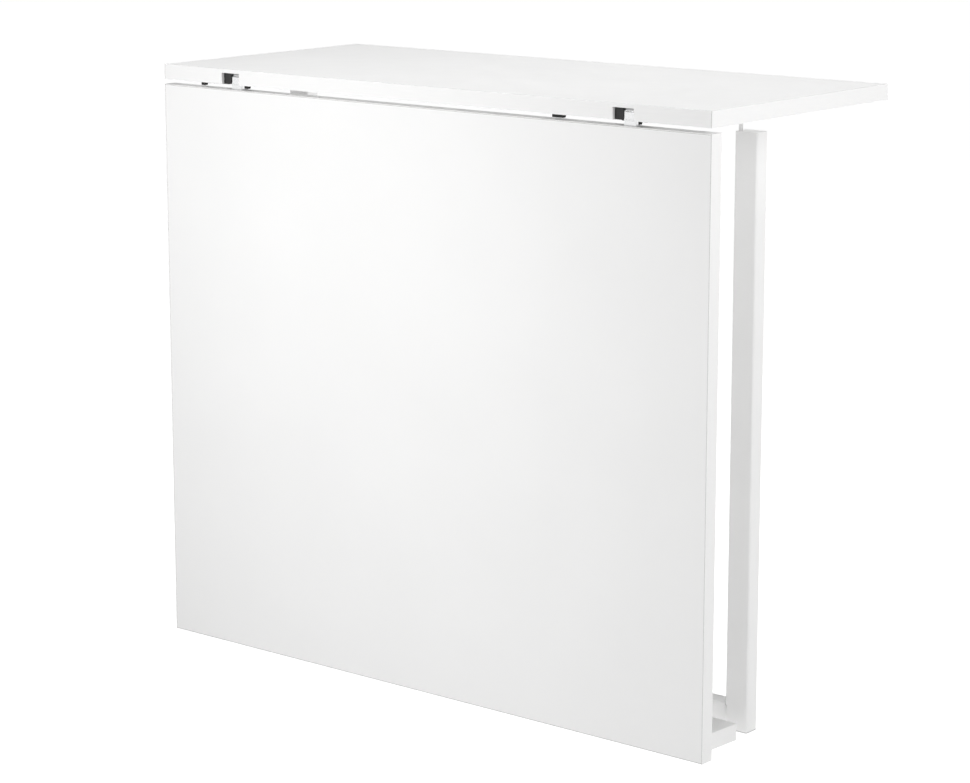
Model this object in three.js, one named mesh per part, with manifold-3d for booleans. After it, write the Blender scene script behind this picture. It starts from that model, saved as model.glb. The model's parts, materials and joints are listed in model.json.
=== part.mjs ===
// Gateleg table with one drop leaf, in millimetres.
// X runs along the table, Y towards its back, Z up. The origin is on the floor, under the middle of the top.
// Three assemblies: the stand with the fixed top, the hanging leaf, and the gate folded behind the leaf.
import * as THREE from "three";
import { mergeVertices } from "three/addons/utils/BufferGeometryUtils.js";
import Module from "manifold-3d";

// ---- Driving dimensions ----
const WIDTH = 800;
const DEPTH = 350;
const HEIGHT = 730;
const BOARD = 18; // thickness of the top and of the leaf
const BAND = 1; // edge band glued round each board
const LEAF_LENGTH = 685;
const LEAF_GAP = 6; // between the top's underside and the hanging leaf
const HINGE_INSET = 10; // leaf axis, behind the front face and below the top face
const HINGE_X = [-290, 286];

const TUBE_WIDE = 30;
const TUBE_DEEP = 21;
const WALL = 2;
const CORNER = 2.5;
const LEG_X = 333;
const LEG_TOP = 684;
const CAP = 4;
const GLIDE = 1.5;
const RAIL_BAR = { deep: 40, thick: 6, reach: 345 };
const FOOT = { wide: 60, tall: 20 };
const FRONT_FOOT_Y = -122; // front end of the fixed foot

const GATE_Y = -36; // pivot axis, in front of the left leg
const GATE_REACH = 655; // pivot axis to the middle of the gate's leg
const GATE_AJAR = 3.6; // degrees that the gate stands open at rest
const GATE_BOTTOM = 42;
const GATE_TOP = 676;
const GATE_FOOT_HALF = 40;
const GATE_OPEN = 65; // degrees at which the gate carries the raised leaf

const BRACKET = 4;
const PIN_R = 4;
const RUNNING = 0.1; // radial clearance of a turning pin
const GAP = 0.3; // clearance of a piece fitted into another

// ---- Derived places ----
const UNDERSIDE = HEIGHT - BOARD;
const LEAF_TOP = UNDERSIDE - LEAF_GAP;
const FRONT = -DEPTH / 2;
const LEAF_BACK = FRONT + BOARD;
const AXIS_Y = FRONT + HINGE_INSET;
const AXIS_Z = HEIGHT - HINGE_INSET;
const FOOT_TOP = GLIDE + FOOT.tall;
const RAIL_TALL = TUBE_WIDE;
const BAR_BOTTOM = UNDERSIDE - RAIL_BAR.thick;
const SIDES = [
  ["left", -1],
  ["right", 1],
];

// ---- Materials ----
const paint = (color, roughness, metalness = 0) =>
  new THREE.MeshStandardMaterial({ color, roughness, metalness });
const lacquer = paint(0xf3f3f1, 0.35);
const edging = paint(0xf0f0ee, 0.4);
const framePaint = paint(0xefefed, 0.45, 0.1);
const chrome = paint(0xd9dadb, 0.12, 1);
const steel = paint(0xb9bbbd, 0.35, 1);
const blackPlastic = paint(0x1b1b1c, 0.5);
const greyPlastic = paint(0xd8d8d5, 0.55);
const rubber = paint(0x161616, 0.8);
const felt = paint(0xc9c8c4, 0.95);

// ---- Booleans ----
const wasm = await Module();
wasm.setup();

function toSolid(geometry) {
  const bare = new THREE.BufferGeometry();
  bare.setAttribute("position", geometry.getAttribute("position"));
  bare.setIndex(geometry.index);
  const merged = mergeVertices(bare, 1e-3);
  return new wasm.Manifold(
    new wasm.Mesh({
      numProp: 3,
      vertProperties: new Float32Array(merged.attributes.position.array),
      triVerts: new Uint32Array(merged.index.array),
    }),
  );
}

function toGeometry(solid) {
  const mesh = solid.getMesh();
  const geometry = new THREE.BufferGeometry();
  geometry.setAttribute("position", new THREE.BufferAttribute(mesh.vertProperties, 3));
  geometry.setIndex(new THREE.BufferAttribute(mesh.triVerts, 1));
  geometry.computeVertexNormals();
  return geometry;
}

// Cuts or joins tool meshes into a mesh that has the same parent.
function combine(mesh, operation, tools) {
  mesh.updateMatrix();
  const toLocal = mesh.matrix.clone().invert();
  let solid = toSolid(mesh.geometry);
  for (const tool of tools) {
    tool.updateMatrix();
    const placed = tool.geometry.clone().applyMatrix4(toLocal.clone().multiply(tool.matrix));
    solid = solid[operation](toSolid(placed));
  }
  mesh.geometry = toGeometry(solid);
  return mesh;
}
const cut = (mesh, ...tools) => combine(mesh, "subtract", tools);
const join = (mesh, ...tools) => combine(mesh, "add", tools);

// ---- Shapes ----
function piece(name, material, geometry, position = [0, 0, 0]) {
  const mesh = new THREE.Mesh(geometry, material);
  mesh.name = name;
  mesh.position.set(...position);
  return mesh;
}

// A box between two limits on each axis.
function block(name, material, ...limits) {
  const size = limits.map(([low, high]) => high - low);
  const centre = limits.map(([low, high]) => (low + high) / 2);
  return piece(name, material, new THREE.BoxGeometry(...size), centre);
}

function roundedRectangle(path, wide, deep, radius) {
  const x = wide / 2 - radius;
  const y = deep / 2 - radius;
  const quarter = Math.PI / 2;
  path.absarc(x, y, radius, 0, quarter);
  path.absarc(-x, y, radius, quarter, 2 * quarter);
  path.absarc(-x, -y, radius, 2 * quarter, 3 * quarter);
  path.absarc(x, -y, radius, 3 * quarter, 4 * quarter);
  return path;
}

// An upright bar of rounded section, standing on the origin.
function bar(wide, deep, length, radius = CORNER) {
  const section = roundedRectangle(new THREE.Shape(), wide, deep, radius);
  return new THREE.ExtrudeGeometry(section, { depth: length, bevelEnabled: false, curveSegments: 2 });
}

// An upright frame tube, standing on the origin, open at both ends.
function tube(length) {
  const section = roundedRectangle(new THREE.Shape(), TUBE_WIDE, TUBE_DEEP, CORNER);
  const bore = new THREE.Path();
  roundedRectangle(bore, TUBE_WIDE - 2 * WALL, TUBE_DEEP - 2 * WALL, CORNER / 2);
  section.holes.push(bore);
  return new THREE.ExtrudeGeometry(section, { depth: length, bevelEnabled: false, curveSegments: 2 });
}

const post = (name, x, y, low, high) => piece(name, framePaint, tube(high - low), [x, y, low]);

// A frame tube along X, wide side upright, its lower edge at the given height.
function rail(name, start, end, y, bottom) {
  const geometry = tube(end - start).rotateY(Math.PI / 2);
  return piece(name, framePaint, geometry, [start, y, bottom + RAIL_TALL / 2]);
}

// A cylinder along one axis, starting at a point.
function rod(material, radius, length, axis, start, sides = 32) {
  const geometry = new THREE.CylinderGeometry(radius, radius, length, sides).translate(0, length / 2, 0);
  if (axis === "x") geometry.rotateZ(-Math.PI / 2);
  if (axis === "z") geometry.rotateX(Math.PI / 2);
  return piece("rod", material, geometry, start);
}

// A body turned round Z from [radius, height] points, listed upwards along its outside.
const turned = (points) =>
  new THREE.LatheGeometry(points.map(([r, h]) => new THREE.Vector2(r, h)), 32).rotateX(Math.PI / 2);

// A plug pushed into a frame tube: a plate over the wall and a shank inside it.
function tubePlug(name, material, x, y, end, plate, direction) {
  const low = Math.min(end, end + plate * direction);
  const plug = piece(name, material, bar(TUBE_WIDE, TUBE_DEEP, plate), [x, y, low]);
  const shank = 12;
  const inside = 2 * (WALL + GAP);
  const bottom = direction > 0 ? end - shank : end - plate / 2;
  const fit = bar(TUBE_WIDE - inside, TUBE_DEEP - inside, shank + plate / 2, CORNER / 2);
  return join(plug, piece("shank", material, fit, [x, y, bottom]));
}

// ---- Screws ----
const PAN_SCREW = { shank: 2.25, length: 13, head: 4.5, tall: 2.5 };
const FLAT_SCREW = { shank: 2, length: 11, head: 4, tall: 2 };

// A pan-head screw driven upwards: its head ends at the origin and its shank rises from there.
function panScrew(name, x, y, z) {
  const { shank, length, head, tall } = PAN_SCREW;
  const profile = [
    [0, -tall],
    [head * 0.7, -tall],
    [head, -tall * 0.6],
    [head, 0],
    [shank, 0],
    [shank, length - shank],
    [0, length],
  ];
  const recess = block("recess", steel, [-0.6, 0.6], [-head / 2, head / 2], [-2 * tall, -tall * 0.55]);
  const mesh = cut(piece(name, steel, turned(profile)), recess);
  mesh.position.set(x, y, z);
  return mesh;
}

// A flat-head screw driven forwards: its head is flush with the plane at y.
function flatScrew(name, x, y, z, length = FLAT_SCREW.length) {
  const { shank, head, tall } = FLAT_SCREW;
  const profile = [
    [0, 0],
    [head, 0],
    [shank, tall],
    [shank, length - shank],
    [0, length],
  ];
  const recess = block("recess", steel, [-0.5, 0.5], [-head / 2, head / 2], [-1, tall / 2]);
  const mesh = cut(piece(name, steel, turned(profile)), recess);
  mesh.geometry.rotateX(Math.PI / 2);
  mesh.position.set(x, y, z);
  return mesh;
}

// The hole that a flat-head screw passes through, a little larger all round.
function flatHole(x, y, z, length) {
  const { shank, head, tall } = FLAT_SCREW;
  const profile = [
    [0, -1],
    [head + GAP, -1],
    [head + GAP, GAP],
    [shank + GAP, tall + GAP],
    [shank + GAP, length + GAP],
    [0, length + GAP],
  ];
  return piece("hole", steel, turned(profile).rotateX(Math.PI / 2), [x, y, z]);
}

// ---- The stand ----
const stand = new THREE.Group();

// A board and its four edge bands. The end bands cover the ends of the long ones.
function boardWithBands(group, names, x, rows) {
  const [low, high] = rows.span;
  const place = (xs, span) => (rows.upright ? [xs, rows.faces, span] : [xs, span, rows.faces]);
  const core = block(names.core, lacquer, ...place([-x + BAND, x - BAND], [low + BAND, high - BAND]));
  const first = block(names.first, edging, ...place([-x + BAND, x - BAND], [low, low + BAND]));
  const last = block(names.last, edging, ...place([-x + BAND, x - BAND], [high - BAND, high]));
  const left = block(names.left, edging, ...place([-x, -x + BAND], [low, high]));
  const right = block(names.right, edging, ...place([x - BAND, x], [low, high]));
  group.add(core, first, last, left, right);
  return { core, first, last };
}

const top = boardWithBands(
  stand,
  {
    core: "top_slab",
    first: "slab_band_front",
    last: "slab_band_back",
    left: "slab_band_left",
    right: "slab_band_right",
  },
  WIDTH / 2,
  { span: [FRONT, -FRONT], faces: [UNDERSIDE, HEIGHT], upright: false },
);

// The frame under the top: two legs, a floor rail, and a flat bar screwed to the top on two studs.
const STUD = { r: 2.2, inward: 10, forward: 6 };
for (const [side, sign] of SIDES) {
  const x = sign * LEG_X;
  stand.add(post("leg_" + side, x, 0, GLIDE, LEG_TOP));
  stand.add(tubePlug("leg_glide_" + side, greyPlastic, x, 0, GLIDE, GLIDE, -1));
  const cap = tubePlug("leg_cap_" + side, framePaint, x, 0, LEG_TOP, CAP, 1);
  const studStart = [x - sign * STUD.inward, -STUD.forward, LEG_TOP + CAP / 2];
  stand.add(join(cap, rod(framePaint, STUD.r, BAR_BOTTOM - studStart[2], "z", studStart)));
}
const legInner = LEG_X - TUBE_WIDE / 2;
stand.add(rail("bottom_rail", -legInner, legInner, 0, GLIDE));

const barX = [-RAIL_BAR.reach, RAIL_BAR.reach];
const barY = [-RAIL_BAR.deep / 2, RAIL_BAR.deep / 2];
const upperRail = block("upper_rail", framePaint, barX, barY, [BAR_BOTTOM, UNDERSIDE]);
const screwHole = (x, y, bottom) =>
  rod(steel, PAN_SCREW.shank + GAP, PAN_SCREW.length + 2, "z", [x, y, bottom - 1]);
const barScrewX = [-270, -90, 90, 270];
const barHoles = barScrewX.map((x) => screwHole(x, 0, BAR_BOTTOM));
stand.add(cut(upperRail, ...barHoles));
barScrewX.forEach((x, i) => stand.add(panScrew("rail_screw_" + (i + 1), x, 0, BAR_BOTTOM)));

// The fixed foot under the hinge side, which runs forward from the left leg.
const footX = [-LEG_X - FOOT.wide / 2, -LEG_X + FOOT.wide / 2];
const legFront = -TUBE_DEEP / 2;
stand.add(block("foot_left", framePaint, footX, [FRONT_FOOT_Y, legFront], [GLIDE, FOOT_TOP]));
const footGlideR = 10;
const glideMargin = 4; // from a foot's end to its glide
stand.add(
  piece(
    "foot_glide_left",
    greyPlastic,
    rod(greyPlastic, footGlideR, GLIDE, "z", [0, 0, 0]).geometry,
    [-LEG_X, FRONT_FOOT_Y + footGlideR + glideMargin, 0],
  ),
);
const GATE_BUFFER = { from: 235, to: 253, thick: 2.5, bottom: 5.5 };
stand.add(
  block(
    "gate_buffer",
    rubber,
    [GATE_BUFFER.from, GATE_BUFFER.to],
    [legFront - GATE_BUFFER.thick, legFront],
    [GATE_BUFFER.bottom, FOOT_TOP],
  ),
);

// ---- Gate pivots: a bracket on the left leg and a headed pin at each end of the gate's post ----
function pivotBracket(name, bottom) {
  const shape = new THREE.Shape();
  const half = TUBE_WIDE / 2;
  shape.moveTo(-half, legFront);
  shape.lineTo(-half, GATE_Y);
  shape.absarc(0, GATE_Y, half, Math.PI, 2 * Math.PI);
  shape.lineTo(half, legFront);
  const hole = new THREE.Path();
  hole.absarc(0, GATE_Y, PIN_R + RUNNING / 2, 0, 2 * Math.PI);
  shape.holes.push(hole);
  const geometry = new THREE.ExtrudeGeometry(shape, {
    depth: BRACKET,
    bevelEnabled: false,
    curveSegments: 12,
  });
  return piece(name, framePaint, geometry, [-LEG_X, 0, bottom]);
}

const pinHead = { r: 7, tall: 3 };
const pinReach = 18;
const pinProfile = [
  [0, -pinHead.tall],
  [pinHead.r, -pinHead.tall],
  [pinHead.r, 0],
  [PIN_R, 0],
  [PIN_R, pinReach],
  [0, pinReach],
];
const flange = 1.7;
const lowerBracket = GATE_BOTTOM - flange - GAP - BRACKET;
const upperBracket = GATE_TOP + flange + GAP;
stand.add(pivotBracket("gate_bracket_lower", lowerBracket));
stand.add(pivotBracket("gate_bracket_upper", upperBracket));
stand.add(piece("gate_pin_lower", steel, turned(pinProfile), [-LEG_X, GATE_Y, lowerBracket]));
const upperPin = piece("gate_pin_upper", steel, turned(pinProfile), [
  -LEG_X,
  GATE_Y,
  upperBracket + BRACKET,
]);
upperPin.rotation.x = Math.PI;
stand.add(upperPin);

// ---- Leaf hinges: a black base in a pocket of the top, a pin, and a plated arm let into the leaf ----
const POCKET = { half: 14, deep: 25, ceiling: 725.5 };
const KNUCKLE_R = 4.7;
const HINGE_PIN_R = 2;
const BASE = { left: -POCKET.half + GAP, right: -2.8, inset: 4, corner: 3 };
const ARM = { left: -2.5, right: 13, reach: 41 };
const FLANGE = { thick: 2.5, front: -158, back: -112 };
const MORTISE = {
  left: ARM.left - GAP,
  right: ARM.right + GAP,
  half: KNUCKLE_R + GAP,
  reach: ARM.reach + GAP,
};
const baseScrewY = [-141, -122];
const armScrewZ = AXIS_Z - 29;
const crossing = 60; // length of a tool that cuts right through a piece

function hingePocket(x) {
  return block(
    "pocket",
    lacquer,
    [x - POCKET.half, x + POCKET.half],
    [FRONT - 1, FRONT + POCKET.deep],
    [UNDERSIDE - 1, POCKET.ceiling],
  );
}

const borePin = (x, radius) => rod(steel, radius, crossing, "x", [x - crossing / 2, AXIS_Y, AXIS_Z]);

// The cheek fills the left side of the pocket and has one round corner, beside the arm.
function hingeBase(name, x) {
  const shape = new THREE.Shape();
  shape.moveTo(BASE.left, UNDERSIDE);
  shape.lineTo(BASE.right - BASE.corner, UNDERSIDE);
  shape.absarc(BASE.right - BASE.corner, UNDERSIDE + BASE.corner, BASE.corner, -Math.PI / 2, 0);
  shape.lineTo(BASE.right, POCKET.ceiling - GAP);
  shape.lineTo(BASE.left, POCKET.ceiling - GAP);
  const depth = POCKET.deep - GAP - BASE.inset;
  const geometry = new THREE.ExtrudeGeometry(shape, { depth, bevelEnabled: false, curveSegments: 6 });
  const back = FRONT + POCKET.deep - GAP;
  const cheek = piece(name, blackPlastic, geometry.rotateX(Math.PI / 2), [x, back, 0]);
  const bottom = UNDERSIDE - FLANGE.thick;
  const plate = block(
    "plate",
    blackPlastic,
    [x - POCKET.half, x + POCKET.half],
    [FLANGE.front, FLANGE.back],
    [bottom, UNDERSIDE],
  );
  const neck = block(
    "neck",
    blackPlastic,
    [x + BASE.left, x + BASE.right - BASE.corner],
    [FLANGE.front, back],
    [bottom, UNDERSIDE + BASE.corner],
  );
  const holes = baseScrewY.map((y) => screwHole(x, y, bottom));
  join(cheek, plate, neck);
  return cut(cheek, borePin(x, HINGE_PIN_R + RUNNING / 2), ...holes);
}

// A thick strap with a round end on the pin, which drops into the leaf's top edge.
function hingeArm(name, x) {
  const shape = new THREE.Shape();
  shape.moveTo(KNUCKLE_R, -ARM.reach);
  shape.absarc(0, 0, KNUCKLE_R, 0, Math.PI);
  shape.lineTo(-KNUCKLE_R, -ARM.reach);
  const geometry = new THREE.ExtrudeGeometry(shape, {
    depth: ARM.right - ARM.left,
    bevelEnabled: false,
    curveSegments: 12,
  });
  geometry.rotateX(Math.PI / 2).rotateZ(Math.PI / 2);
  const arm = piece(name, chrome, geometry, [x + ARM.left, AXIS_Y, AXIS_Z]);
  const middle = x + (ARM.left + ARM.right) / 2;
  const wayStart = [middle, AXIS_Y - crossing / 2, armScrewZ];
  const screwWay = rod(steel, FLAT_SCREW.shank + GAP, crossing, "y", wayStart);
  return cut(arm, borePin(x, HINGE_PIN_R + RUNNING), screwWay);
}

const leaf = new THREE.Group();
const leafBoards = boardWithBands(
  leaf,
  {
    core: "leaf_panel",
    first: "leaf_band_bottom",
    last: "leaf_band_top",
    left: "leaf_band_left",
    right: "leaf_band_right",
  },
  WIDTH / 2,
  { span: [LEAF_TOP - LEAF_LENGTH, LEAF_TOP], faces: [FRONT, LEAF_BACK], upright: true },
);

function leafMortise(x) {
  return block(
    "mortise",
    lacquer,
    [x + MORTISE.left, x + MORTISE.right],
    [AXIS_Y - MORTISE.half, AXIS_Y + MORTISE.half],
    [AXIS_Z - MORTISE.reach, LEAF_TOP + 1],
  );
}

const pockets = HINGE_X.map(hingePocket);
const mortises = HINGE_X.map(leafMortise);
const slabHoles = [
  ...HINGE_X.flatMap((x) => baseScrewY.map((y) => screwHole(x, y, UNDERSIDE - FLANGE.thick))),
  ...barScrewX.map((x) => screwHole(x, 0, BAR_BOTTOM)),
];
cut(top.core, ...pockets, ...slabHoles);
cut(top.first, ...pockets);
cut(leafBoards.last, ...mortises);

SIDES.forEach(([side], i) => {
  const x = HINGE_X[i];
  stand.add(hingeBase("hinge_base_" + side, x));
  baseScrewY.forEach((y, n) =>
    stand.add(panScrew(`hinge_screw_${side}_${n + 1}`, x, y, UNDERSIDE - FLANGE.thick)),
  );
  const pinStart = x + BASE.left + 1;
  const pin = rod(steel, HINGE_PIN_R, x + ARM.right - pinStart, "x", [pinStart, AXIS_Y, AXIS_Z]);
  pin.name = "hinge_pin_" + side;
  stand.add(pin);
  leaf.add(hingeArm("hinge_arm_" + side, x));
  const middle = x + (ARM.left + ARM.right) / 2;
  leaf.add(flatScrew("arm_screw_" + side, middle, LEAF_BACK, armScrewZ));
});

// Rubber buffers under the front edge of the top, where the leaf's edge closes up to it.
// Each one is full height from its start to its shoulder, and two of them go on as a thin lip.
const BUFFER = { tall: 3.8, front: FRONT + 4, back: FRONT + 9, lip: 0.8, chamfer: 1 };
const BUFFERS = [
  { start: -342, shoulder: -336, end: -319 },
  { start: -271, shoulder: -265.5, end: -264.5 },
  { start: 188, shoulder: 203, end: 204 },
  { start: 303, shoulder: 304.5, end: 315 },
];
BUFFERS.forEach(({ start, shoulder, end }, i) => {
  const shape = new THREE.Shape();
  shape.moveTo(start, 0);
  shape.lineTo(start, -BUFFER.tall);
  shape.lineTo(shoulder, -BUFFER.tall);
  shape.lineTo(shoulder + BUFFER.chamfer, -BUFFER.lip);
  if (end > shoulder + BUFFER.chamfer) {
    shape.lineTo(end, -BUFFER.lip);
  }
  shape.lineTo(end, 0);
  const depth = BUFFER.back - BUFFER.front;
  const geometry = new THREE.ExtrudeGeometry(shape, { depth, bevelEnabled: false });
  const place = [0, BUFFER.back, UNDERSIDE];
  stand.add(piece("buffer_" + (i + 1), rubber, geometry.rotateX(Math.PI / 2), place));
});

// The block on the leaf's inner face that the open gate stands under.
const GATE_LEG_AT = {
  x: -LEG_X + GATE_REACH * Math.cos(THREE.MathUtils.degToRad(GATE_OPEN)),
  y: GATE_Y - GATE_REACH * Math.sin(THREE.MathUtils.degToRad(GATE_OPEN)),
};
const PAD = { halfWide: 18, halfTall: 26, thick: 1 };
const REST = { halfWide: 35, halfTall: 30, screwOut: 27, screwLength: 30 };
const restX = Math.round(GATE_LEG_AT.x);
const restZ = Math.round(AXIS_Z + GATE_LEG_AT.y - AXIS_Y);
const restFace = LEAF_BACK + UNDERSIDE - (LEG_TOP + CAP) - PAD.thick - GAP;
const restScrewX = [restX - REST.screwOut, restX + REST.screwOut];
const restHoles = restScrewX.map((x) => flatHole(x, restFace, restZ, REST.screwLength));
leaf.add(
  cut(
    block(
      "rest_block",
      lacquer,
      [restX - REST.halfWide, restX + REST.halfWide],
      [LEAF_BACK, restFace],
      [restZ - REST.halfTall, restZ + REST.halfTall],
    ),
    ...restHoles,
  ),
);
leaf.add(
  block(
    "rest_pad",
    felt,
    [restX - PAD.halfWide, restX + PAD.halfWide],
    [restFace, restFace + PAD.thick],
    [restZ - PAD.halfTall, restZ + PAD.halfTall],
  ),
);
restScrewX.forEach((x, i) =>
  leaf.add(flatScrew("rest_screw_" + (i + 1), x, restFace, restZ, REST.screwLength)),
);
const armHoles = HINGE_X.map((x) => {
  const middle = x + (ARM.left + ARM.right) / 2;
  return flatHole(middle, LEAF_BACK, armScrewZ, FLAT_SCREW.length);
});
cut(leafBoards.core, ...mortises, ...armHoles, ...restHoles);

// ---- The gate: its own frame has the pivot axis at the origin and X along the rails ----
const gate = new THREE.Group();
gate.position.set(-LEG_X, GATE_Y, 0);
gate.rotation.z = -THREE.MathUtils.degToRad(GATE_AJAR);

function postBush(name, end, direction) {
  const bush = tubePlug(name, greyPlastic, 0, 0, end, flange, direction);
  return cut(bush, rod(steel, PIN_R + RUNNING, crossing, "z", [0, 0, end - crossing / 2]));
}

gate.add(post("gate_post", 0, 0, GATE_BOTTOM, GATE_TOP));
gate.add(postBush("gate_bush_lower", GATE_BOTTOM, -1));
gate.add(postBush("gate_bush_upper", GATE_TOP, 1));
gate.add(post("gate_leg", GATE_REACH, 0, FOOT_TOP, LEG_TOP));
gate.add(tubePlug("gate_leg_cap", framePaint, GATE_REACH, 0, LEG_TOP, CAP, 1));
const gateRailStart = TUBE_WIDE / 2 + GAP;
const gateRailEnd = GATE_REACH - TUBE_WIDE / 2 - GAP;
gate.add(rail("gate_rail_lower", gateRailStart, gateRailEnd, 0, GATE_BOTTOM));
gate.add(rail("gate_rail_upper", gateRailStart, gateRailEnd, 0, GATE_TOP - RAIL_TALL));
const gateFootX = [GATE_REACH - FOOT.wide / 2, GATE_REACH + FOOT.wide / 2];
gate.add(
  block("gate_foot", framePaint, gateFootX, [-GATE_FOOT_HALF, GATE_FOOT_HALF], [GLIDE, FOOT_TOP]),
);
const glideY = GATE_FOOT_HALF - footGlideR - glideMargin;
[
  ["front", -glideY],
  ["back", glideY],
].forEach(([end, y]) => {
  const glide = rod(greyPlastic, footGlideR, GLIDE, "z", [GATE_REACH, y, 0]);
  glide.name = "gate_glide_" + end;
  gate.add(glide);
});

const table = new THREE.Group();
table.add(stand, leaf, gate);
export default table;
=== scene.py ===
import json
import math

import bpy
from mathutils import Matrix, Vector


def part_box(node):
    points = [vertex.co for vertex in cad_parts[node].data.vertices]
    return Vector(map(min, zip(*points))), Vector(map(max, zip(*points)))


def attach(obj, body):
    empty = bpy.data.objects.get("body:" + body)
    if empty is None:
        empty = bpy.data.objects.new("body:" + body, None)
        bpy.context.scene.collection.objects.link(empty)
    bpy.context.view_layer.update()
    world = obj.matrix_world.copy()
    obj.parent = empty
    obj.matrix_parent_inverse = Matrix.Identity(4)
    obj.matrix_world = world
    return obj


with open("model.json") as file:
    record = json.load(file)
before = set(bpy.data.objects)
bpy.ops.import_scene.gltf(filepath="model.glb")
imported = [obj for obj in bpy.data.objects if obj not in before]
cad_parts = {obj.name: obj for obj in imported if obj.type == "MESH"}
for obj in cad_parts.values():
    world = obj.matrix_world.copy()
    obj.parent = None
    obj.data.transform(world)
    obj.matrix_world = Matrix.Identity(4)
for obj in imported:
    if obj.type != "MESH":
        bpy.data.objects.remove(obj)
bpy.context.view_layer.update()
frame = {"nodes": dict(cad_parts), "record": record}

MM = 0.001
nodes = frame["nodes"]
X = Vector((1, 0, 0))
Y = Vector((0, 1, 0))
Z = Vector((0, 0, 1))


# ---- Shader helpers ----
def new_material(name, color, roughness, metallic=0.0):
    material = bpy.data.materials.new(name)
    material.use_nodes = True
    tree = material.node_tree
    shader = tree.nodes["Principled BSDF"]
    shader.inputs["Base Color"].default_value = (*color, 1.0)
    shader.inputs["Roughness"].default_value = roughness
    shader.inputs["Metallic"].default_value = metallic
    return material, tree, shader


def noise(tree, scale, detail=2.0, stretch=(1, 1, 1), roughness=0.5):
    """Noise in the piece's own coordinates, with its scale in features per metre."""
    coordinates = tree.nodes.new("ShaderNodeTexCoord")
    mapping = tree.nodes.new("ShaderNodeMapping")
    mapping.inputs["Scale"].default_value = stretch
    texture = tree.nodes.new("ShaderNodeTexNoise")
    texture.inputs["Scale"].default_value = scale
    texture.inputs["Detail"].default_value = detail
    texture.inputs["Roughness"].default_value = roughness
    tree.links.new(coordinates.outputs["Object"], mapping.inputs["Vector"])
    tree.links.new(mapping.outputs["Vector"], texture.inputs["Vector"])
    return texture.outputs["Fac"]


def cells(tree, scale):
    """Distance to the nearest of a set of scattered points, with their number per metre."""
    coordinates = tree.nodes.new("ShaderNodeTexCoord")
    texture = tree.nodes.new("ShaderNodeTexVoronoi")
    texture.inputs["Scale"].default_value = scale
    tree.links.new(coordinates.outputs["Object"], texture.inputs["Vector"])
    return texture.outputs["Distance"]


NOISE_RANGE = (0.3, 0.7)  # where nearly all of a noise texture's values lie


def spread(tree, source, low, high, taken=NOISE_RANGE):
    """Maps a texture's values, taken over a range of them, to a range of numbers."""
    node = tree.nodes.new("ShaderNodeMapRange")
    node.inputs["From Min"].default_value = taken[0]
    node.inputs["From Max"].default_value = taken[1]
    node.inputs["To Min"].default_value = low
    node.inputs["To Max"].default_value = high
    tree.links.new(source, node.inputs["Value"])
    return node.outputs["Result"]


def tint(tree, source, dark, light):
    """Maps a noise value to a colour between two colours."""
    ramp = tree.nodes.new("ShaderNodeValToRGB")
    ramp.color_ramp.elements[0].position = NOISE_RANGE[0]
    ramp.color_ramp.elements[1].position = NOISE_RANGE[1]
    ramp.color_ramp.elements[0].color = (*dark, 1.0)
    ramp.color_ramp.elements[1].color = (*light, 1.0)
    tree.links.new(source, ramp.inputs["Fac"])
    return ramp.outputs["Color"]


def relief(tree, shader, *layers):
    """Stacks bump layers of (height socket, depth in metres)."""
    below = None
    for height, depth in layers:
        bump = tree.nodes.new("ShaderNodeBump")
        bump.inputs["Strength"].default_value = 1.0
        bump.inputs["Distance"].default_value = depth
        tree.links.new(height, bump.inputs["Height"])
        if below:
            tree.links.new(below, bump.inputs["Normal"])
        below = bump.outputs["Normal"]
    tree.links.new(below, shader.inputs["Normal"])


WARMTH = 0.004


def grey(value):
    """A grey with a trace of warmth."""
    return (value + WARMTH / 2, value + WARMTH / 4, value - WARMTH / 2)


# ---- Materials ----
def white_board():
    """Satin white lacquer: nearly flat, with a faint roller texture."""
    material, tree, shader = new_material("white_board_look", grey(0.84), 0.34)
    cloud = noise(tree, 7.0, 3.0)
    tree.links.new(tint(tree, cloud, grey(0.832), grey(0.848)), shader.inputs["Base Color"])
    tree.links.new(spread(tree, noise(tree, 40.0, 4.0), 0.30, 0.40), shader.inputs["Roughness"])
    relief(
        tree,
        shader,
        (noise(tree, 420.0, 2.0), 0.012 * MM),
        (noise(tree, 2600.0, 1.0), 0.004 * MM),
    )
    shader.inputs["Coat Weight"].default_value = 0.15
    shader.inputs["Coat Roughness"].default_value = 0.22
    return material


def edge_band():
    """Plastic band in the same white, with faint lengthwise drawing marks."""
    material, tree, shader = new_material("edge_band_look", grey(0.83), 0.38)
    marks = noise(tree, 60.0, 3.0, stretch=(1, 1, 30))
    tree.links.new(tint(tree, marks, grey(0.824), grey(0.842)), shader.inputs["Base Color"])
    tree.links.new(spread(tree, marks, 0.34, 0.44), shader.inputs["Roughness"])
    relief(tree, shader, (noise(tree, 1500.0, 2.0), 0.006 * MM))
    return material


def frame_paint():
    """White powder coat: an orange-peel surface with a fine sparkle of smoother grains."""
    material, tree, shader = new_material("frame_paint_look", grey(0.83), 0.42)
    tree.links.new(
        tint(tree, noise(tree, 14.0, 3.0), grey(0.818), grey(0.838)), shader.inputs["Base Color"]
    )
    tree.links.new(spread(tree, noise(tree, 900.0, 2.0), 0.36, 0.5), shader.inputs["Roughness"])
    relief(
        tree,
        shader,
        (noise(tree, 700.0, 1.0), 0.035 * MM),
        (noise(tree, 2400.0, 2.0), 0.010 * MM),
    )
    return material


def chrome_plate():
    """Bright plate over stamped steel, with soft tumbling marks."""
    material, tree, shader = new_material("chrome_look", (0.86, 0.865, 0.87), 0.22, 1.0)
    tree.links.new(spread(tree, noise(tree, 500.0, 3.0), 0.16, 0.30), shader.inputs["Roughness"])
    relief(tree, shader, (noise(tree, 1200.0, 2.0), 0.008 * MM))
    return material


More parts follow.
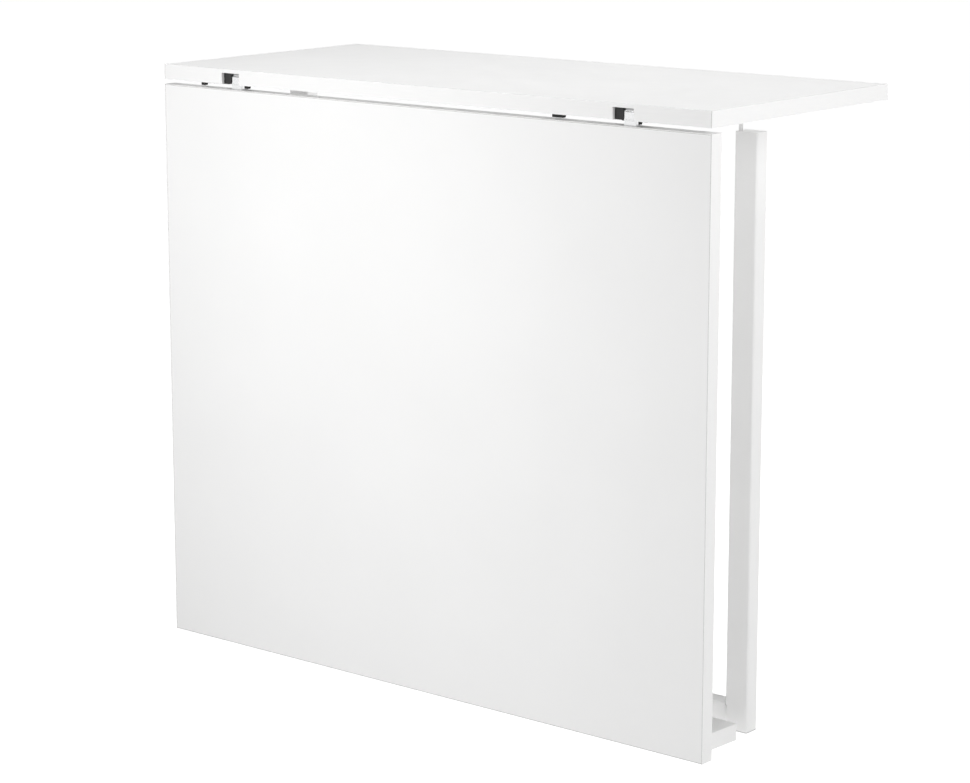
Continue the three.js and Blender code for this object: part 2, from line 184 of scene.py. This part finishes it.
def zinc_steel():
    """Zinc plate: small crystals and a faint yellow-blue cast."""
    material, tree, shader = new_material("zinc_look", (0.62, 0.63, 0.64), 0.34, 1.0)
    cast = noise(tree, 160.0, 2.0)
    tree.links.new(
        tint(tree, cast, (0.60, 0.61, 0.65), (0.68, 0.67, 0.62)), shader.inputs["Base Color"]
    )
    crystals = spread(tree, cells(tree, 900.0), 0.28, 0.44, (0.0, 0.8))
    tree.links.new(crystals, shader.inputs["Roughness"])
    relief(tree, shader, (noise(tree, 2200.0, 2.0), 0.010 * MM))
    return material


def moulded_plastic(name, dark, light, roughness, grain):
    """Moulded plastic with a spark-eroded mould texture."""
    material, tree, shader = new_material(name, light, roughness)
    tree.links.new(tint(tree, noise(tree, 90.0, 2.0), dark, light), shader.inputs["Base Color"])
    low, high = roughness - 0.06, roughness + 0.06
    tree.links.new(spread(tree, noise(tree, 600.0, 2.0), low, high), shader.inputs["Roughness"])
    relief(
        tree,
        shader,
        (cells(tree, 1600.0), grain),
        (noise(tree, 3500.0, 2.0), grain / 2),
    )
    return material


def black_rubber():
    """Dull rubber with a bloom of paler dust."""
    material, tree, shader = new_material("rubber_look", (0.016, 0.016, 0.016), 0.8)
    dust = noise(tree, 260.0, 5.0, roughness=0.65)
    tree.links.new(
        tint(tree, dust, (0.012, 0.012, 0.012), (0.028, 0.028, 0.027)), shader.inputs["Base Color"]
    )
    tree.links.new(spread(tree, dust, 0.7, 0.9), shader.inputs["Roughness"])
    relief(tree, shader, (noise(tree, 1800.0, 3.0), 0.03 * MM))
    return material


def felt():
    """Pressed wool: crossing fibres at two scales, with a soft sheen."""
    material, tree, shader = new_material("felt_look", (0.5, 0.49, 0.47), 0.95)
    lengthwise = noise(tree, 500.0, 4.0, stretch=(0.25, 1, 1), roughness=0.7)
    crosswise = noise(tree, 500.0, 4.0, stretch=(1, 1, 0.25), roughness=0.7)
    tree.links.new(
        tint(tree, lengthwise, (0.40, 0.39, 0.37), (0.58, 0.57, 0.55)), shader.inputs["Base Color"]
    )
    relief(tree, shader, (lengthwise, 0.25 * MM), (crosswise, 0.2 * MM))
    shader.inputs["Sheen Weight"].default_value = 0.4
    shader.inputs["Sheen Roughness"].default_value = 0.5
    return material


LOOKS = {
    "white_board": white_board(),
    "edge_band": edge_band(),
    "frame_paint": frame_paint(),
    "chrome_plate": chrome_plate(),
    "zinc_steel": zinc_steel(),
    "black_plastic": moulded_plastic(
        "black_plastic_look", (0.010, 0.010, 0.010), (0.020, 0.020, 0.021), 0.46, 0.02 * MM
    ),
    "grey_plastic": moulded_plastic(
        "grey_plastic_look", grey(0.56), grey(0.62), 0.52, 0.015 * MM
    ),
    "black_rubber": black_rubber(),
    "felt": felt(),
}


# ---- Edges: every CAD node gets welded corners, smooth shading and a fine rounded edge ----
MERGE_DISTANCE = 2e-6
TIDY_DISTANCE = 1e-6
FLAT_ANGLE = math.radians(0.5)
SHARP_ANGLE = math.radians(32)
EDGE_SEGMENTS = 3
LARGE_FACES_LEAD = 100


def weld_group():
    """A node group that joins a CAD mesh's loose corners and shades it smooth."""
    group = bpy.data.node_groups.new("weld_and_smooth", "GeometryNodeTree")
    group.interface.new_socket("Geometry", in_out="INPUT", socket_type="NodeSocketGeometry")
    group.interface.new_socket("Geometry", in_out="OUTPUT", socket_type="NodeSocketGeometry")
    source = group.nodes.new("NodeGroupInput")
    merge = group.nodes.new("GeometryNodeMergeByDistance")
    merge.inputs["Distance"].default_value = MERGE_DISTANCE
    drop = group.nodes.new("GeometryNodeRemoveAttribute")
    drop.inputs["Name"].default_value = "custom_normal"
    smooth = group.nodes.new("GeometryNodeSetShadeSmooth")
    result = group.nodes.new("NodeGroupOutput")
    chain = [source, merge, drop, smooth, result]
    for a, b in zip(chain, chain[1:]):
        group.links.new(a.outputs[0], b.inputs[0])
    return group


WELD = weld_group()

# The rounding of each material's edges, in millimetres.
EDGE = {
    "white_board": 0.25,
    "edge_band": 0.22,
    "frame_paint": 0.5,
    "chrome_plate": 0.5,
    "zinc_steel": 0.15,
    "black_plastic": 0.4,
    "grey_plastic": 0.35,
    "black_rubber": 0.4,
    "felt": 0.3,
}


def round_edges(obj, width):
    weld = obj.modifiers.new("weld", "NODES")
    weld.node_group = WELD
    planar = obj.modifiers.new("flat_faces", "DECIMATE")
    planar.decimate_type = "DISSOLVE"
    planar.angle_limit = FLAT_ANGLE
    bevel = obj.modifiers.new("rounding", "BEVEL")
    bevel.width = width
    bevel.segments = EDGE_SEGMENTS
    bevel.limit_method = "ANGLE"
    bevel.angle_limit = SHARP_ANGLE
    bevel.use_clamp_overlap = True
    bevel.miter_outer = "MITER_ARC"
    tidy = obj.modifiers.new("tidy", "WELD")
    tidy.merge_threshold = TIDY_DISTANCE
    normals = obj.modifiers.new("normals", "WEIGHTED_NORMAL")
    normals.keep_sharp = False
    normals.weight = LARGE_FACES_LEAD


slots = {row["node"]: row["material_slot"] for row in frame["record"]["subparts"]}
for name, obj in nodes.items():
    slot = slots[name]
    obj.data.materials.clear()
    obj.data.materials.append(LOOKS[slot])
    round_edges(obj, EDGE[slot] * MM)


# ---- Mesh helpers ----
def mesh_piece(name, vertices, faces, material, body, smooth=True):
    """A new piece of the object, from points and faces, that rides on a CAD body."""
    mesh = bpy.data.meshes.new(name)
    mesh.from_pydata([tuple(v) for v in vertices], [], faces)
    mesh.validate()
    mesh.update()
    for polygon in mesh.polygons:
        polygon.use_smooth = smooth
    mesh.materials.append(material)
    obj = bpy.data.objects.new(name, mesh)
    bpy.context.scene.collection.objects.link(obj)
    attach(obj, body)
    return obj


def ring_faces(rings, count, flip=False):
    """Side faces between stacked rings of the same number of points."""
    faces = []
    for i in range(rings - 1):
        for k in range(count):
            a = i * count + k
            b = i * count + (k + 1) % count
            face = (a, b, b + count, a + count)
            faces.append(face[::-1] if flip else face)
    return faces


def end_faces(rings, count, flip=False):
    """The two end faces of the same stack of rings."""
    first = tuple(range(count))
    last = tuple((rings - 1) * count + k for k in range(count))
    return [first, last[::-1]] if flip else [first[::-1], last]


# ---- Welds: painted beads in the frame's inner corners ----
BEAD_LEG = 3.2 * MM
BEAD_RIPPLE = 2.4 * MM
BEAD_ARC = 6
BEAD_SINK = 0.6 * MM
BEAD_CROWN = 0.16  # how far the bead's face stands out, as a share of its size
RIPPLE_LOW = 0.9
RIPPLE_RISE = 0.16
RIPPLE_STEPS = 5
END_SIZE = 0.12  # the bead's size at its very ends, as a share
END_SWELL = 1.6  # how soon it reaches its full size


def bead(name, body, start, end, along_a, along_b):
    """A fillet weld from start to end, in the corner of faces that run off along_a and along_b.

    Its size swells once for each ripple and dies away at both ends.
    """
    run = end - start
    steps = max(8, round(run.length / BEAD_RIPPLE) * RIPPLE_STEPS)
    rings = []
    for i in range(steps + 1):
        t = i / steps
        ends = min(1.0, math.sqrt(max(0.0, math.sin(math.pi * t))) * END_SWELL)
        phase = (t * run.length / BEAD_RIPPLE) % 1.0
        swell = RIPPLE_LOW + RIPPLE_RISE * math.sqrt(max(0.0, 1.0 - phase * phase))
        size = BEAD_LEG * max(END_SIZE, ends) * swell
        centre = start + run * t
        ring = [centre - (along_a + along_b) * BEAD_SINK]
        ring.append(centre + along_a * size - along_b * BEAD_SINK)
        for k in range(BEAD_ARC + 1):
            turn = math.pi / 2 * k / BEAD_ARC
            chord = along_a * (size * (1 - k / BEAD_ARC)) + along_b * (size * k / BEAD_ARC)
            bulge = BEAD_CROWN * size * math.sin(2 * turn)
            crown = (along_a + along_b).normalized() * bulge
            ring.append(centre + chord + crown)
        ring.append(centre + along_b * size - along_a * BEAD_SINK)
        rings.append(ring)
    count = len(rings[0])
    vertices = [v for ring in rings for v in ring]
    flip = run.dot(along_a.cross(along_b)) < 0
    faces = ring_faces(steps + 1, count, flip) + end_faces(steps + 1, count, flip)
    return mesh_piece(name, vertices, faces, LOOKS["frame_paint"], body)


def middle(low, high):
    return (Vector(low) + Vector(high)) / 2


leg_low, leg_high = (Vector(v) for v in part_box("leg_right"))
rail_low, rail_high = (Vector(v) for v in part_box("bottom_rail"))
tube_wide = leg_high.x - leg_low.x
tube_deep = leg_high.y - leg_low.y
leg_middle = middle(leg_low, leg_high)
BEAD_REACH = 0.36  # how far a bead runs to each side of a tube's middle, as a share of its width

for side, sign in (("left", -1), ("right", 1)):
    inner = sign * (abs(leg_middle.x) - tube_wide / 2)
    across = Y * tube_deep * BEAD_REACH
    corner = Vector((inner, leg_middle.y, rail_high.z))
    bead("rail_weld_top_" + side, "stand", corner - across, corner + across, X * -sign, Z)

foot_low, foot_high = (Vector(v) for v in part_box("foot_left"))
foot_corner = Vector((-leg_middle.x, foot_high.y, foot_high.z))
along = X * tube_wide * BEAD_REACH
bead("foot_weld", "stand", foot_corner - along, foot_corner + along, -Y, Z)

for end in ("lower", "upper"):
    low, high = (Vector(v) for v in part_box("gate_bracket_" + end))
    for face, height, up in (("under", low.z, -Z), ("over", high.z, Z)):
        corner = Vector((-leg_middle.x, high.y, height))
        bead(f"bracket_weld_{end}_{face}", "stand", corner - along, corner + along, -Y, up)

# The gate's own directions, from its post to its leg.
post_middle = middle(*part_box("gate_post"))
gate_leg_middle = middle(*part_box("gate_leg"))
reach = Vector((gate_leg_middle.x - post_middle.x, gate_leg_middle.y - post_middle.y, 0))
gate_x = reach.normalized()
gate_y = Z.cross(gate_x)
gate_origin = Vector((post_middle.x, post_middle.y, 0))


def gate_bead(name, distance, height, toward, up):
    """A bead across the gate's frame, where a rail meets the upright at that distance."""
    corner = gate_origin + gate_x * distance + Z * height
    across = gate_y * tube_deep * BEAD_REACH
    bead(name, "gate", corner - across, corner + across, gate_x * toward, up)


post_face = tube_wide / 2
leg_face = reach.length - tube_wide / 2
lower_low, lower_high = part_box("gate_rail_lower")
upper_low, upper_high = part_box("gate_rail_upper")
gate_bead("gate_weld_1", post_face, lower_high[2], 1, Z)
gate_bead("gate_weld_2", post_face, upper_low[2], 1, -Z)
gate_bead("gate_weld_3", leg_face, lower_low[2], -1, -Z)
gate_bead("gate_weld_4", leg_face, lower_high[2], -1, Z)
gate_bead("gate_weld_5", leg_face, upper_low[2], -1, -Z)
gate_bead("gate_weld_6", leg_face, upper_high[2], -1, Z)
gate_foot_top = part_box("gate_foot")[1][2]
gate_bead("gate_weld_foot_inner", leg_face, gate_foot_top, -1, Z)
gate_bead("gate_weld_foot_outer", leg_face + tube_wide, gate_foot_top, 1, Z)
for side, toward in (("front", -1), ("back", 1)):
    corner = gate_origin + reach + gate_y * (toward * tube_deep / 2) + Z * gate_foot_top
    half = gate_x * tube_wide * BEAD_REACH
    bead("gate_weld_foot_" + side, "gate", corner - half, corner + half, gate_y * toward, Z)


# ---- Ground seams: where the rail runs flush into a leg, the joint is filled and sanded ----
SEAM = {"overlap": 0.6 * MM, "round": 3.0 * MM, "depth": 2.6 * MM, "proud": 0.02 * MM}
SEAM_COLUMNS = 8
SEAM_SKIN = 0.01 * MM  # keeps the strip's back off its face at the two edges


def ground_seam(name, inner, sign, face_y, outward):
    """A filled strip, flush with the frame's face, over the joint between the rail and a leg."""
    low = rail_low.z + SEAM["round"]
    high = rail_high.z - SEAM["round"]
    start = inner - sign * SEAM["overlap"]
    width = SEAM["overlap"] + SEAM["round"]
    vertices = []
    for z in (low, (low + high) / 2, high):
        for k in range(SEAM_COLUMNS + 1):
            t = k / SEAM_COLUMNS
            crown = SEAM["proud"] * math.sin(math.pi * t) ** 0.5
            vertices.append((start + sign * width * t, face_y + outward * crown, z))
        for k in range(SEAM_COLUMNS, -1, -1):
            t = k / SEAM_COLUMNS
            back = SEAM["depth"] * math.sin(math.pi * t) ** 0.5
            vertices.append((start + sign * width * t, face_y - outward * (back + SEAM_SKIN), z))
    count = 2 * (SEAM_COLUMNS + 1)
    flip = sign * outward > 0
    faces = ring_faces(3, count, flip) + end_faces(3, count, flip)
    mesh_piece(name, vertices, faces, LOOKS["frame_paint"], "stand")


for side, sign in (("left", -1), ("right", 1)):
    inner = sign * (abs(leg_middle.x) - tube_wide / 2)
    ground_seam("rail_seam_front_" + side, inner, sign, leg_low.y, -1)
    ground_seam("rail_seam_back_" + side, inner, sign, leg_high.y, 1)


# ---- Studs: a threaded rod from each leg's cap up to the bar, with a nut under the bar ----
THREAD = {
    "radius": 2.6 * MM,
    "depth": 0.3 * MM,
    "pitch": 0.8 * MM,
    "sides": 24,
    "steps_per_turn": 6,
}
NUT = {"flats": 8 * MM, "tall": 4 * MM, "chamfer": 0.45 * MM, "sides": 48}
NUT_FACE = 0.97  # radius of the round face inside the chamfer, as a share of half the flats
NUT_FACE_LEVELS = (1, 4)


def threaded_rod(name, centre, low, high):
    """A painted rod with a single-start thread, upright at centre."""
    sides = THREAD["sides"]
    steps = round((high - low) / THREAD["pitch"] * THREAD["steps_per_turn"])
    vertices = []
    for i in range(steps + 1):
        height = (high - low) * i / steps
        for k in range(sides):
            turn = 2 * math.pi * k / sides
            phase = (height / THREAD["pitch"] - k / sides) % 1.0
            radius = THREAD["radius"] - THREAD["depth"] * abs(2 * phase - 1)
            x = centre.x + radius * math.cos(turn)
            y = centre.y + radius * math.sin(turn)
            vertices.append((x, y, low + height))
    faces = ring_faces(steps + 1, sides) + end_faces(steps + 1, sides)
    mesh_piece(name, vertices, faces, LOOKS["frame_paint"], "stand")


def hex_nut(name, centre, top):
    """A hexagon nut with chamfered corners, hanging from the height given."""
    sides, tall, chamfer = NUT["sides"], NUT["tall"], NUT["chamfer"]
    bore = THREAD["radius"] - THREAD["depth"] / 2
    inscribed = NUT["flats"] / 2
    profile = [(bore, 0), ("hex", 0), ("hex", chamfer)]
    profile += [("hex", tall - chamfer), ("hex", tall), (bore, tall)]
    vertices = []
    for level, (edge, drop) in enumerate(profile):
        for k in range(sides):
            turn = 2 * math.pi * k / sides
            radius = edge
            if edge == "hex":
                flat_turn = (turn + math.pi / 6) % (math.pi / 3) - math.pi / 6
                radius = inscribed / math.cos(flat_turn)
                if level in NUT_FACE_LEVELS:
                    radius = min(radius, inscribed * NUT_FACE)
            x = centre.x + radius * math.cos(turn)
            y = centre.y + radius * math.sin(turn)
            vertices.append((x, y, top - drop))
    faces = ring_faces(len(profile), sides, flip=True)
    last = (len(profile) - 1) * sides
    for k in range(sides):
        following = (k + 1) % sides
        faces.append((last + following, last + k, k, following)[::-1])
    mesh_piece(name, vertices, faces, LOOKS["zinc_steel"], "stand", smooth=False)


STUD_INWARD = 10 * MM
STUD_FORWARD = 6 * MM
STUD_SINK = 0.5 * MM
CAP_THICK = 4 * MM
cap_top = leg_high.z + CAP_THICK
bar_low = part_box("upper_rail")[0][2]
for side, sign in (("left", -1), ("right", 1)):
    axis = Vector((sign * (abs(leg_middle.x) - STUD_INWARD), leg_middle.y - STUD_FORWARD, 0))
    threaded_rod("stud_thread_" + side, axis, cap_top - STUD_SINK, bar_low)
    hex_nut("stud_nut_" + side, axis, bar_low)


# ---- Glue lines: a hair of glue shows along every joint between a board and its edge bands ----
GLUE_HALF = 0.14 * MM
GLUE_PROUD = 0.012 * MM
GLUE_SINK = 0.12 * MM
GLUE_SHOULDER = 0.8  # height half way out to the strip's side, as a share of its middle's


def glue_look():
    """Hot-melt glue, a grey line that dust darkens unevenly."""
    material, tree, shader = new_material("glue_look", (0.26, 0.255, 0.24), 0.55)
    dust = noise(tree, 320.0, 3.0)
    tree.links.new(
        tint(tree, dust, (0.20, 0.195, 0.18), (0.34, 0.335, 0.32)), shader.inputs["Base Color"]
    )
    relief(tree, shader, (noise(tree, 1500.0, 2.0), 0.01 * MM))
    return material


GLUE = glue_look()


def glue_strip(start, end, outward):
    """One closed strip with a rounded face, as points and faces."""
    across = (end - start).cross(outward).normalized() * GLUE_HALF
    shoulder = GLUE_PROUD * GLUE_SHOULDER
    section = [(-1.0, -GLUE_SINK), (-1.0, 0.0), (-0.5, shoulder), (0.0, GLUE_PROUD)]
    section += [(0.5, shoulder), (1.0, 0.0), (1.0, -GLUE_SINK)]
    points = []
    for place in (start, end):
        points += [place + across * a + outward * h for a, h in section]
    count = len(section)
    faces = ring_faces(2, count) + end_faces(2, count)
    return points, faces


def glue_lines(name, body, core, whole, thin_axis, band_axis):
    """Glue lines of one board: on both faces, and down the joints beside its end bands.

    The end bands close the board at both ends of X, and the long bands at both ends of band_axis.
    The core's box is the board without its bands, and whole is the box that takes in the end bands.
    """
    core_low, core_high = (Vector(v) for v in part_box(core))
    vertices, faces = [], []

    def lay(start, end, outward):
        points, strip = glue_strip(start, end, outward)
        offset = len(vertices)
        vertices.extend(points)
        faces.extend(tuple(i + offset for i in face) for face in strip)

    def place(x, band, thin):
        point = Vector((x, 0, 0))
        point[band_axis] = band
        point[thin_axis] = thin
        return point

    whole_low, whole_high = (Vector(v) for v in whole)
    up = Vector((0, 0, 0))
    up[thin_axis] = 1
    for thin, outward in ((whole_low[thin_axis], -up), (whole_high[thin_axis], up)):
        for band in (core_low[band_axis], core_high[band_axis]):
            lay(place(core_low.x, band, thin), place(core_high.x, band, thin), outward)
        for x in (core_low.x, core_high.x):
            low, high = whole_low[band_axis], whole_high[band_axis]
            lay(place(x, low, thin), place(x, high, thin), outward)
    aside = Vector((0, 0, 0))
    aside[band_axis] = 1
    for band, outward in ((whole_low[band_axis], -aside), (whole_high[band_axis], aside)):
        for x in (core_low.x, core_high.x):
            lay(
                place(x, band, whole_low[thin_axis]),
                place(x, band, whole_high[thin_axis]),
                outward,
            )
    mesh_piece(name, vertices, faces, GLUE, body)


def box_of(*names):
    """The box that holds several CAD nodes."""
    boxes = [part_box(name) for name in names]
    low = [min(box[0][i] for box in boxes) for i in range(3)]
    high = [max(box[1][i] for box in boxes) for i in range(3)]
    return low, high


slab_whole = box_of("slab_band_left", "slab_band_right")
leaf_whole = box_of("leaf_band_left", "leaf_band_right")
glue_lines("slab_glue_lines", "stand", "top_slab", slab_whole, thin_axis=2, band_axis=1)
glue_lines("leaf_glue_lines", "leaf", "leaf_panel", leaf_whole, thin_axis=1, band_axis=2)


# ---- Stage ----
FLOOR_HALF = 30
FLOOR_GREY = 0.35
FLOOR_GLOW = 0.93
floor_mesh = bpy.data.meshes.new("floor")
floor_corners = [(-FLOOR_HALF, -FLOOR_HALF, 0), (FLOOR_HALF, -FLOOR_HALF, 0)]
floor_corners += [(FLOOR_HALF, FLOOR_HALF, 0), (-FLOOR_HALF, FLOOR_HALF, 0)]
floor_mesh.from_pydata(floor_corners, [], [(0, 1, 2, 3)])
floor = bpy.data.objects.new("floor", floor_mesh)
bpy.context.scene.collection.objects.link(floor)
floor_look, floor_tree, floor_shader = new_material("floor_look", (FLOOR_GREY,) * 3, 0.9)
floor_shader.inputs["Specular IOR Level"].default_value = 0.0
floor_shader.inputs["Emission Color"].default_value = (1, 1, 1, 1)
floor_shader.inputs["Emission Strength"].default_value = FLOOR_GLOW
floor_mesh.materials.append(floor_look)


CEILING_STARTS = (0.05, 0.16)  # rise of a direction over which the walls give way to the ceiling


def studio_world(walls, overhead):
    """A white studio: bright low walls, and a dimmer ceiling that the soft boxes make up for."""
    world = bpy.data.worlds.new("studio")
    bpy.context.scene.world = world
    world.use_nodes = True
    tree = world.node_tree
    coordinates = tree.nodes.new("ShaderNodeTexCoord")
    split = tree.nodes.new("ShaderNodeSeparateXYZ")
    tree.links.new(coordinates.outputs["Generated"], split.inputs["Vector"])
    level = spread(tree, split.outputs["Z"], walls, overhead, CEILING_STARTS)
    background = tree.nodes["Background"]
    background.inputs["Color"].default_value = (1, 1, 1, 1)
    tree.links.new(level, background.inputs["Strength"])


studio_world(1.0, 0.22)


def light(name, kind, energy, location, target, **values):
    """A lamp that points at target and doesn't show in the picture."""
    data = bpy.data.lights.new(name, kind)
    data.energy = energy
    for key, value in values.items():
        setattr(data, key, value)
    obj = bpy.data.objects.new(name, data)
    obj.location = location
    aim = Vector(target) - Vector(location)
    obj.rotation_euler = aim.to_track_quat("-Z", "Y").to_euler()
    bpy.context.scene.collection.objects.link(obj)
    obj.visible_camera = False


KEY_BEAM = {"spot_size": math.radians(32), "spot_blend": 1.0, "shadow_soft_size": 0.35}
light("key", "SPOT", 122, (-0.7, -2.2, 1.75), (-0.13, -0.175, 0.59), **KEY_BEAM)
light("overhead", "AREA", 34, (0.0, 0.2, 2.6), (0.0, 0.1, 0.73), size=1.4)
light("right_fill", "AREA", 6.5, (1.3, -0.3, 1.35), (0.36, 0.0, 0.5), size=0.7)
light("back_fill", "AREA", 4, (0.35, 1.3, 0.62), (0.2, -0.05, 0.1), size=0.6)


# ---- Camera ----
CAMERA_PLACE = (2.0288, -2.5653, 1.0587)
CAMERA_DOWN = 11.037  # degrees below level
CAMERA_TURN = 38.928  # degrees round to the right of the front

camera_data = bpy.data.cameras.new("camera")
camera = bpy.data.objects.new("camera", camera_data)
bpy.context.scene.collection.objects.link(camera)
bpy.context.scene.camera = camera
camera_data.sensor_width = 36
camera_data.lens = 103.97
camera_data.shift_y = -0.06
camera.location = CAMERA_PLACE
camera.rotation_euler = (math.radians(90 - CAMERA_DOWN), 0, math.radians(CAMERA_TURN))
camera_data.clip_end = 100

bpy.context.scene.view_settings.view_transform = "Standard"
